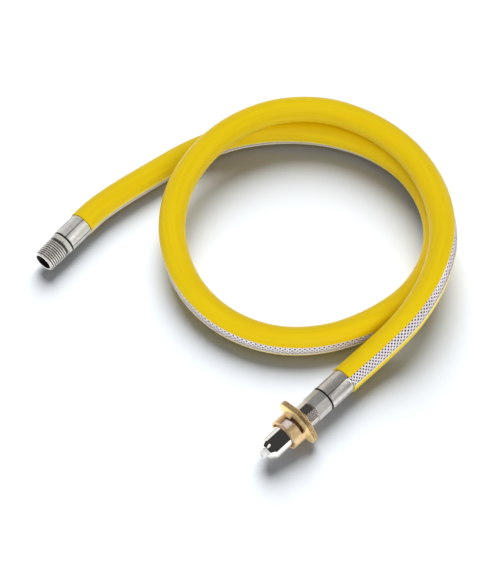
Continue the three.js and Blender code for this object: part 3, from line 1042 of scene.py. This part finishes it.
ring = {
    "turn": -20.0,
    "start": 49.9, "flange": 5.0, "wingSpan": 40.0, "wingRadius": 7.0,
    "flatSpan": 26.0, "flatLength": 14.0, "rounding": 0.9,
    "barrel": 13.2, "wall": 1.9, "length": 14.4, "cove": 1.5, "bore": 8.3,
    "windowMiddle": 35.0, "windowAngle": 48.0, "windowLength": 8.0, "rim": 1.3, "entryWall": 0.8,
    "entryInset": 6.0, "legAngle": 43.0, "legLength": 3.2, "legOverlap": 0.6,
    "slots": 2,
    "rootInset": 1.0, "rootDepth": 0.3,         # the barrel's root in the flange
    "coveSink": 0.1, "coveStart": 0.1,
    "light": paint(236, 204, 154),
    "deep": paint(226, 188, 136),
    "olive": paint(158, 126, 84),
    # painted highlight on the flange's edges
    "paintedEdgeHighlight": paint(250, 222, 150),
    "metallic": 0.62,
}


def castBrass():
    # sand-cast skin, with painted highlights along the edges on both sides of the flange
    shader = newShader("cast_brass")
    own = shader.own()
    z = shader.split(own, 2)
    grain = shader.noise(own, 1.3, 3.0, 0.6)
    cloud = shader.noise(own, 0.25, 2.0)
    start, end = ring["start"], ring["start"] + ring["flange"]
    rim = z.eased(start, start + 0.8) * (1 - z.eased(end - 0.9, end - 0.3))
    # painted highlight at the flange's front edge and cove, and at its back edge
    front = (z - end).eased(-0.7, -0.2) * (1 - (z - end).eased(0.6, 1.6))
    paintedEdgeHighlight = (front + (1 - z.eased(start, start + 0.7))).clamped(0, 1)
    base = shader.blend(cloud.eased(0.3, 0.7), ring["light"], ring["deep"])
    speckled = shader.blend(grain.eased(0.42, 0.7), ring["olive"], ring["light"])
    base = shader.blend(rim, base, speckled)
    base = shader.blend(paintedEdgeHighlight, base, ring["paintedEdgeHighlight"])
    return shader.coated({
        "Base Color": base,
        "Metallic": ring["metallic"],
        "Roughness": 0.26 + 0.2 * grain,
        "Normal": shader.bump(grain, 0.0002, 0.6),
    })


finishes["brass"] = castBrass()


def flangeOutline():
    middle = ring["wingSpan"] / 2 - ring["wingRadius"]
    flatX, flatY = ring["flatLength"] / 2, ring["flatSpan"] / 2
    reach = math.hypot(middle - flatX, flatY)
    flank = math.atan2(flatY, flatX - middle) - math.acos(ring["wingRadius"] / reach)
    wing = arc((0, middle), ring["wingRadius"], math.pi / 2 - flank, math.pi / 2 + flank, 25)
    half = [(flatY, -flatX), (flatY, flatX), *wing]
    return half + [(-x, -y) for x, y in half]


def wallBlock(inner, outer, fromDegrees, toDegrees, start, end):
    # a block between two radii, two angles and two stations
    bm = bmesh.new()
    corners = [(inner, start), (outer, start), (outer, end), (inner, end)]
    face = bm.faces.new([bm.verts.new((radius, 0, station)) for radius, station in corners])
    bmesh.ops.rotate(bm, verts=bm.verts, matrix=Matrix.Rotation(math.radians(fromDegrees), 3, "Z"))
    sweep = toDegrees - fromDegrees
    bmesh.ops.spin(bm, geom=[*face.verts, *face.edges, face], cent=(0, 0, 0), axis=(0, 0, 1),
                   dvec=(0, 0, 0), angle=math.radians(sweep), steps=max(3, round(sweep / 3)))
    tidyShell(bm)
    return bm


def slotCuts(turn):
    outside, through = ring["barrel"] + 2 * overrun, ring["barrel"] - ring["wall"] - overrun
    ringEnd = ring["start"] + ring["flange"] + ring["length"]
    fromAngle = ring["windowMiddle"] - ring["windowAngle"] / 2 + turn
    toAngle = fromAngle + ring["windowAngle"]
    windowEnd = ringEnd - ring["rim"]
    windowStart = windowEnd - ring["windowLength"]
    legStart = windowStart - ring["legLength"] + ring["legOverlap"]
    legEnd = legStart + ring["legLength"]
    half = ring["legLength"] / 2
    roundEnd = bmesh.new()
    bmesh.ops.create_cone(roundEnd, cap_ends=True, segments=40, radius1=half, radius2=half,
                          depth=outside - through)
    place = (Matrix.Rotation(math.radians(fromAngle - ring["legAngle"]), 4, "Z")
             @ Matrix.Translation(((outside + through) / 2, 0, legStart + half))
             @ Matrix.Rotation(math.pi / 2, 4, "Y"))
    bmesh.ops.transform(roundEnd, matrix=place, verts=roundEnd.verts)
    return [
        wallBlock(through, ring["barrel"] - ring["entryWall"], fromAngle + ring["entryInset"],
                  toAngle - ring["entryInset"], windowEnd - overrun, ringEnd + overrun),
        wallBlock(through, outside, fromAngle, toAngle, windowStart, windowEnd),
        wallBlock(through, outside, fromAngle - ring["legAngle"], ring["windowMiddle"] + turn,
                  legStart, legEnd),
        roundEnd,
    ]


def makeRing():
    start, top = ring["start"], ring["start"] + ring["flange"]
    end, cove, radius = top + ring["length"], ring["cove"], ring["barrel"]
    flange = softened(prism(flangeOutline(), start, top), ring["rounding"], 4, 60)
    rootStart, rootEnd = start + ring["rootInset"], top - ring["rootDepth"]
    foot = top - ring["coveSink"] + cove
    hollow = arc((radius + cove, foot), cove, -math.pi / 2 - ring["coveStart"], -math.pi, 8)
    barrel = spun([(0, rootStart), (radius - ring["rootInset"], rootStart), (radius + cove, rootEnd),
                   *hollow, (radius, end), (0, end)], 128, closed=False)
    allowed = prism(flangeOutline(), start, top + cove)
    column = tube(0, radius, rootEnd, end + overrun, 128)
    barrel = combined(barrel, combined(allowed, column, "UNION"), "INTERSECT")
    body = combined(flange, barrel, "UNION")
    hole = tube(0, ring["bore"], start - overrun, top + overrun)
    inside = tube(0, radius - ring["wall"], top, end + overrun, 128)
    body = combined(combined(body, hole, "DIFFERENCE"), inside, "DIFFERENCE")
    for slot in range(ring["slots"]):
        for cut in slotCuts(360 * slot / ring["slots"]):
            body = combined(body, cut, "DIFFERENCE")
    tidyShell(body, 0.003)
    bmesh.ops.rotate(body, verts=body.verts,
                     matrix=Matrix.Rotation(math.radians(ring["turn"]), 3, "Z"))
    finishPiece("bayonet_ring_casting", body, "brass", ["bayonet_ring"], "plug",
                sharp=30, body="ring")


makeRing()


# Plug nose: a polished shell screwed on the spigot

nose = {
    "shoulderStart": 55.2, "shoulderEnd": 57.5, "shoulder": 10.8,
    "radius": 9.6, "coneStart": 84.8, "end": 88.8, "tipRadius": 6.6,
    "hole": 3.5, "frontWall": 4.3, "inside": 6.2, "socket": 8.3, "socketEnd": 64.7,
    "edge": 0.3,
    # where the painted shade behind the slot and the painted light in the window end; below, their
    # colours
    "paintedSlotShadeEnd": 60.3, "paintedWindowLightEnd": 69.2,
    "paintedSlotShade": paint(96, 68, 48),
    "satin": paint(247, 232, 226),
    "bright": paint(238, 234, 228),
}


def noseNickel():
    # mirror-bright in front of the ring, a pale satin of painted light in its window, and painted shade
    # behind its slot
    shader = newShader("polished_nickel")
    own = shader.own()
    z = shader.split(own, 2)
    cloud = shader.noise(own, 0.3, 2.0)
    shown = z.eased(nose["paintedWindowLightEnd"] - 0.4, nose["paintedWindowLightEnd"])
    base = shader.blend(shown, nose["satin"], nose["bright"])
    base = shader.blend(z.eased(nose["paintedSlotShadeEnd"] - 0.3, nose["paintedSlotShadeEnd"]), nose["paintedSlotShade"], base)
    return shader.coated({
        "Base Color": base,
        "Metallic": 0.15 + 0.85 * shown,
        "Roughness": 0.38 - 0.35 * shown + 0.03 * cloud,
    })


finishes["polished"] = noseNickel()


def makeNose():
    bm = spun([
        (nose["socket"], nose["shoulderStart"]), (nose["shoulder"], nose["shoulderStart"]),
        (nose["shoulder"], nose["shoulderEnd"]), (nose["radius"], nose["shoulderEnd"]),
        (nose["radius"], nose["coneStart"]), (nose["tipRadius"], nose["end"]),
        (nose["hole"], nose["end"]), (nose["hole"], nose["end"] - nose["frontWall"]),
        (nose["inside"], nose["end"] - nose["frontWall"]), (nose["inside"], nose["socketEnd"]),
        (nose["socket"], nose["socketEnd"]),
    ], 144)
    finishPiece("plug_nose_polished", softened(bm, nose["edge"], 3, 25), "polished",
                ["plug_nose"], "plug")


makeNose()


# White nozzle tip

nozzle = {
    "radius": 3.2, "end": 93.4, "headStart": 81.8, "headEnd": 84.2, "head": 5.9, "tail": 3.0,
    "bore": 1.5, "rounding": 1.3,
}


def makeNozzle():
    radius, end, rounding = nozzle["radius"], nozzle["end"], nozzle["rounding"]
    nosed = arc((radius - rounding, end - rounding), rounding, 0, math.pi / 2, 7)
    bm = spun([
        (nozzle["bore"], nozzle["headStart"] - nozzle["tail"]),
        (radius, nozzle["headStart"] - nozzle["tail"]),
        (radius, nozzle["headStart"]), (nozzle["head"], nozzle["headStart"]),
        (nozzle["head"], nozzle["headEnd"]), (radius, nozzle["headEnd"]), *nosed, (nozzle["bore"], end),
    ], 72)
    finishPiece("nozzle_tip_moulding", bm, "white", ["nozzle_tip"], "plug")


makeNozzle()


# Seals stay as they are in the frame

for name in ("thread_gasket", "plug_gasket", "nose_seal"):
    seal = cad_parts[name]
    seal.data.materials.clear()
    seal.data.materials.append(finishes["rubber"])


# Which route samples lie on the free hose

def declareHose():
    keep = (routeLine["stations"] >= 0) & (routeLine["stations"] <= hoseLength)


declareHose()


# Floor, light and surroundings

studio = {
    "floorSize": 6.0,
    "floor": (0.595, 0.622, 0.655, 1),
    "floorGlow": 0.38,              # only where gloss mirrors the floor
    "sun": {"towards": (0.02, 1.0, 1.0), "spread": 45.0, "strength": 6.5},    # on the floor only
    "aim": (0.05, 0.06, 0.0),
    "lamps": [
        # name, place, size and power, on all but the floor
        ("overhead", (-0.25, 0.75, 1.5), 0.9, 11.0),
        ("front", (0.35, -1.0, 1.0), 1.3, 11.5),
    ],
    "sky": 0.28,
    "ceiling": 0.05,
    "backdrop": 0.62,              # height of the bright backdrop behind, as a sine
    # what gloss mirrors above that: direction, inner and outer half-angle in degrees, brightness
    "panels": [
        ((0.905, 0.047, 0.423), 13, 19, 3.6),
        ((-0.687, -0.446, 0.574), 8, 11, 1.1),
    ],
}


def makeFloor():
    bm = bmesh.new()
    bmesh.ops.create_grid(bm, x_segments=1, y_segments=1, size=studio["floorSize"] / 2)
    floor = asObject("floor", bm)
    shader = newShader("floor")
    mirrored = shader.node("LightPath", None, None, output="Is Glossy Ray")
    glow = shader.node("Emission", None, {
        "Color": (1, 1, 1, 1), "Strength": mirrored * studio["floorGlow"],
    })
    matt = shader.node("BsdfDiffuse", None, {"Color": studio["floor"]})
    floor.data.materials.append(shader.finish(shader.node("AddShader", None, {0: matt, 1: glow})))
    return floor


def lightOnly(lamp, floor, state):
    # INCLUDE lights the floor alone, EXCLUDE everything but the floor
    lamp.visible_glossy = False
    bpy.context.scene.collection.objects.link(lamp)
    lit = bpy.data.collections.new(lamp.name + "_receivers")
    lit.objects.link(floor)
    lit.collection_objects[0].light_linking.link_state = state
    lamp.light_linking.receiver_collection = lit


def makeLamps(floor):
    sun = studio["sun"]
    data = bpy.data.lights.new("sun", "SUN")
    data.angle = math.radians(sun["spread"])
    data.energy = sun["strength"]
    lamp = bpy.data.objects.new("sun", data)
    lamp.rotation_euler = Vector(sun["towards"]).to_track_quat("Z", "Y").to_euler()
    lightOnly(lamp, floor, "INCLUDE")
    for name, place, size, power in studio["lamps"]:
        data = bpy.data.lights.new(name, "AREA")
        data.shape = "DISK"
        data.size = size
        data.energy = power
        lamp = bpy.data.objects.new(name, data)
        lamp.location = place
        aim = Vector(studio["aim"]) - lamp.location
        lamp.rotation_euler = aim.to_track_quat("-Z", "Y").to_euler()
        lightOnly(lamp, floor, "EXCLUDE")


def makeWorld():
    world = bpy.data.worlds.new("studio")
    bpy.context.scene.world = world
    shader = Shader(world)
    way = shader.node("TexCoord", None, None, output="Generated")
    height = shader.split(way, 2)
    behind = shader.split(way, 1).eased(0.0, 0.5) * studio["backdrop"]
    mirror = (behind - height).eased(0.0, 0.1) * (1 - studio["ceiling"]) + studio["ceiling"]
    for direction, inner, outer, brightness in studio["panels"]:
        towards = tuple(Vector(direction).normalized())
        facing = shader.node("VectorMath", {"operation": "DOT_PRODUCT"}, {0: way, 1: towards},
                             output="Value")
        panel = facing.eased(math.cos(math.radians(outer)), math.cos(math.radians(inner)))
        mirror = mirror.maths("MAXIMUM", panel * brightness)
    seen = shader.node("LightPath", None, None, output="Is Camera Ray")
    mirrored = shader.node("LightPath", None, None, output="Is Glossy Ray")
    plain = studio["sky"] * (1 - mirrored) + mirror * mirrored
    strength = seen + (1 - seen) * plain
    light = shader.node("Background", None, {"Color": (1, 1, 1, 1), "Strength": strength})
    shader.node("OutputWorld", None, {"Surface": light})


makeLamps(makeFloor())
makeWorld()
bpy.context.scene.view_settings.view_transform = "Standard"
print("studio lit")
